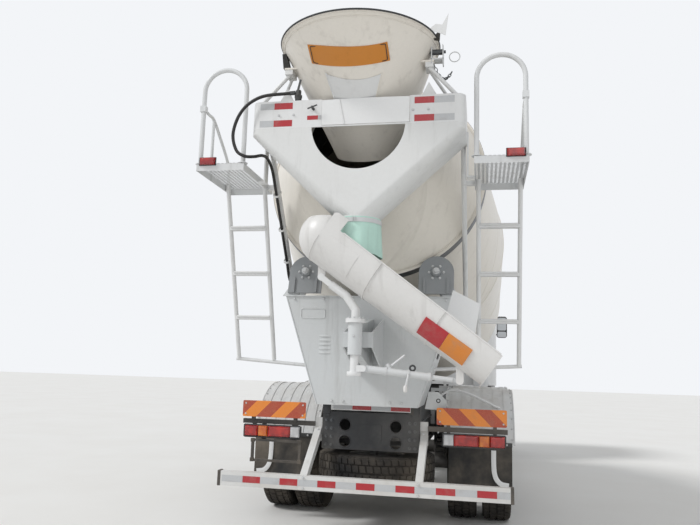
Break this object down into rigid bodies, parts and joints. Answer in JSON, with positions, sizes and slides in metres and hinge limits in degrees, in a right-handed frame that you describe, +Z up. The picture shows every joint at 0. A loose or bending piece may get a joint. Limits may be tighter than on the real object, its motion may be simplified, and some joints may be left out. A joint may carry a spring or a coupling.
{
  "type": "concrete mixer truck",
  "caption": "Three-axle concrete mixer truck with tilting cab, turning drum, hopper and swivelling discharge chute.",
  "frame": {"origin": "On the ground, below the middle of the truck's box.", "axes": "+X is the truck's right side, +Y is forward, +Z is up."},
  "size_m": [2.88, 9.7098, 4.1814],
  "materials": {
    "chassis_black": "painted",
    "underrun_white": "painted",
    "lamp_red": "gloss",
    "marker_orange": "painted",
    "guard_white": "painted",
    "flap_rubber": "matte",
    "body_grey": "painted",
    "roller_steel": "machined",
    "drum_paint": "painted",
    "hopper_cream": "painted",
    "sleeve_green": "matte",
    "portal_white": "painted",
    "chute_white": "painted",
    "jack_steel": "galvanised",
    "drive_grey": "painted",
    "hose_rubber": "matte",
    "tank_aluminium": "brushed",
    "tyre_black": "moulded",
    "rim_steel": "painted",
    "cab_white": "gloss",
    "glass_clear": "clear",
    "bumper_grey": "moulded",
    "step_black": "moulded",
    "trim_dark": "moulded"
  },
  "bodies": {
    "root": {"chassis_frame": "chassis_black", "rear_underrun": "underrun_white", "lamps": "lamp_red", "marker_boards": "marker_orange", "rear_mudguards": "guard_white", "mudflaps": "flap_rubber", "rear_pedestal": "body_grey", "feed_hopper": "hopper_cream", "collection_hopper": "body_grey", "rubber_sleeve": "sleeve_green", "portal": "portal_white", "platforms": "portal_white", "ladders": "portal_white", "front_pedestal": "body_grey", "drum_drive": "drive_grey", "water_tank": "portal_white", "water_hose": "hose_rubber", "fuel_tank": "tank_aluminium", "side_boxes": "chassis_black", "side_guards": "guard_white", "powertrain": "drive_grey", "front_axle": "chassis_black", "rear_axles": "chassis_black", "leaf_springs": "chassis_black", "spare_wheel": "tyre_black", "front_bumper": "bumper_grey", "front_mudguards": "step_black", "air_intake": "step_black", "exhaust": "jack_steel", "front_steps": "step_black"},
    "drum": {"drum": "drum_paint"},
    "support_roller_l": {"roller_l": "roller_steel"},
    "support_roller_r": {"roller_r": "roller_steel"},
    "wheel_front_l": {"tyre_front_l": "tyre_black", "rim_front_l": "rim_steel"},
    "wheel_front_r": {"tyre_front_r": "tyre_black", "rim_front_r": "rim_steel"},
    "wheels_mid_l": {"tyres_mid_l": "tyre_black", "rims_mid_l": "rim_steel"},
    "wheels_mid_r": {"tyres_mid_r": "tyre_black", "rims_mid_r": "rim_steel"},
    "wheels_rear_l": {"tyres_rear_l": "tyre_black", "rims_rear_l": "rim_steel"},
    "wheels_rear_r": {"tyres_rear_r": "tyre_black", "rims_rear_r": "rim_steel"},
    "knuckle_l": {"knuckle_l": "chassis_black"},
    "knuckle_r": {"knuckle_r": "chassis_black"},
    "tie_rod": {"tie_rod": "chassis_black"},
    "chute_yoke": {"chute_yoke": "portal_white"},
    "main_chute": {"main_chute": "chute_white"},
    "jack_tube": {"jack_tube": "jack_steel"},
    "jack_rod": {"jack_rod": "jack_steel"},
    "cab": {"cab_shell": "cab_white", "cab_glass": "glass_clear", "mirrors": "step_black", "cab_interior": "trim_dark"},
    "door_l": {"door_l": "cab_white", "door_glass_l": "glass_clear"},
    "door_r": {"door_r": "cab_white", "door_glass_r": "glass_clear"}
  },
  "joints": [
    {"name": "drum_spin", "type": "hinge", "parent": "root", "child": "drum", "pos_m": [0, -3.175, 3.197], "axis": [0, 0.9744, -0.225], "continuous": true},
    {"name": "roller_l_spin", "type": "hinge", "parent": "root", "child": "support_roller_l", "pos_m": [-0.57451, -3.39266, 2.25421], "axis": [0, 0.9744, -0.225], "continuous": true},
    {"name": "roller_r_spin", "type": "hinge", "parent": "root", "child": "support_roller_r", "pos_m": [0.57451, -3.39266, 2.25421], "axis": [0, 0.9744, -0.225], "continuous": true},
    {"name": "wheels_mid_l_spin", "type": "hinge", "parent": "root", "child": "wheels_mid_l", "pos_m": [-0.93, -0.625, 0.535], "axis": [1, 0, 0], "continuous": true},
    {"name": "wheels_mid_r_spin", "type": "hinge", "parent": "root", "child": "wheels_mid_r", "pos_m": [0.93, -0.625, 0.535], "axis": [1, 0, 0], "continuous": true},
    {"name": "wheels_rear_l_spin", "type": "hinge", "parent": "root", "child": "wheels_rear_l", "pos_m": [-0.93, -1.975, 0.535], "axis": [1, 0, 0], "continuous": true},
    {"name": "wheels_rear_r_spin", "type": "hinge", "parent": "root", "child": "wheels_rear_r", "pos_m": [0.93, -1.975, 0.535], "axis": [1, 0, 0], "continuous": true},
    {"name": "steer_l", "type": "hinge", "parent": "root", "child": "knuckle_l", "pos_m": [-0.84, 3.375, 0.535], "axis": [0, 0, 1], "range_deg": [-35, 35]},
    {"name": "steer_r", "type": "hinge", "parent": "root", "child": "knuckle_r", "pos_m": [0.84, 3.375, 0.535], "axis": [0, 0, 1], "range_deg": [-35, 35]},
    {"name": "tie_rod_turn", "type": "hinge", "parent": "knuckle_l", "child": "tie_rod", "pos_m": [-0.84, 3.135, 0.45], "axis": [0, 0, 1], "range_deg": [-35, 35]},
    {"name": "wheel_front_l_spin", "type": "hinge", "parent": "knuckle_l", "child": "wheel_front_l", "pos_m": [-1.02, 3.375, 0.535], "axis": [1, 0, 0], "continuous": true},
    {"name": "wheel_front_r_spin", "type": "hinge", "parent": "knuckle_r", "child": "wheel_front_r", "pos_m": [1.02, 3.375, 0.535], "axis": [1, 0, 0], "continuous": true},
    {"name": "chute_swing", "type": "hinge", "parent": "root", "child": "chute_yoke", "pos_m": [0.015, -4.185, 1.64], "axis": [0, 0, 1], "range_deg": [-180, 0]},
    {"name": "chute_tilt", "type": "hinge", "parent": "chute_yoke", "child": "main_chute", "pos_m": [-0.26, -4.185, 2.13], "axis": [0, -1, 0], "range_deg": [-3, 8]},
    {"name": "jack_swing", "type": "hinge", "parent": "chute_yoke", "child": "jack_tube", "pos_m": [0.085, -4.185, 1.44], "axis": [0, -1, 0], "range_deg": [-5, 12.5]},
    {"name": "jack_slide", "type": "slide", "parent": "jack_tube", "child": "jack_rod", "axis": [0.9955, 0, -0.0947], "range_m": [-0.04, 0.102]},
    {"name": "cab_tilt", "type": "hinge", "parent": "root", "child": "cab", "pos_m": [0, 4.745, 1.105], "axis": [-1, 0, 0], "range_deg": [0, 50]},
    {"name": "door_l_open", "type": "hinge", "parent": "cab", "child": "door_l", "pos_m": [-1.218, 4.488, 2], "axis": [0, 0, -1], "range_deg": [0, 70]},
    {"name": "door_r_open", "type": "hinge", "parent": "cab", "child": "door_r", "pos_m": [1.218, 4.488, 2], "axis": [0, 0, 1], "range_deg": [0, 70]}
  ],
  "couplings": [
    {"joint": "roller_l_spin", "follows": "drum_spin", "ratio": -8},
    {"joint": "roller_r_spin", "follows": "drum_spin", "ratio": -8},
    {"joint": "steer_r", "follows": "steer_l", "ratio": 1},
    {"joint": "tie_rod_turn", "follows": "steer_l", "ratio": -1},
    {"joint": "jack_swing", "follows": "chute_tilt", "ratio": 1.5},
    {"joint": "jack_slide", "follows": "chute_tilt", "m_per_rad": 0.7105}
  ]
}
